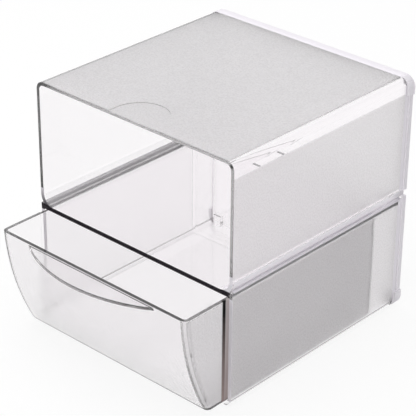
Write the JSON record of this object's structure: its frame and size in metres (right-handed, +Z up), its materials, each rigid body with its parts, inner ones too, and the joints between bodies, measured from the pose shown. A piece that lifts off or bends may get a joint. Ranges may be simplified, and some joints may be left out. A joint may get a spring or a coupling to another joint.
{
  "type": "stackable drawer box",
  "caption": "Clear square box with an open compartment above a pull-out drawer with a half-moon pull, made to stack with others for crafts and small parts.",
  "frame": {"origin": "middle of the case's base, on the surface it stands on", "axes": "+Z up, +X to the right seen from the front, +Y to the back; the drawer opens towards -Y"},
  "size_m": [0.1544, 0.2003, 0.1524],
  "materials": {
    "clear_plastic": "gloss",
    "clear_drawer_plastic": "gloss"
  },
  "bodies": {
    "case": {"case": "clear_plastic", "rear_panel": "clear_plastic"},
    "drawer": {"drawer": "clear_drawer_plastic"}
  },
  "joints": [
    {"name": "drawer_slide", "type": "slide", "parent": "case", "child": "drawer", "axis": [0, -1, 0], "range_m": [-0.0164, 0.09]}
  ]
}
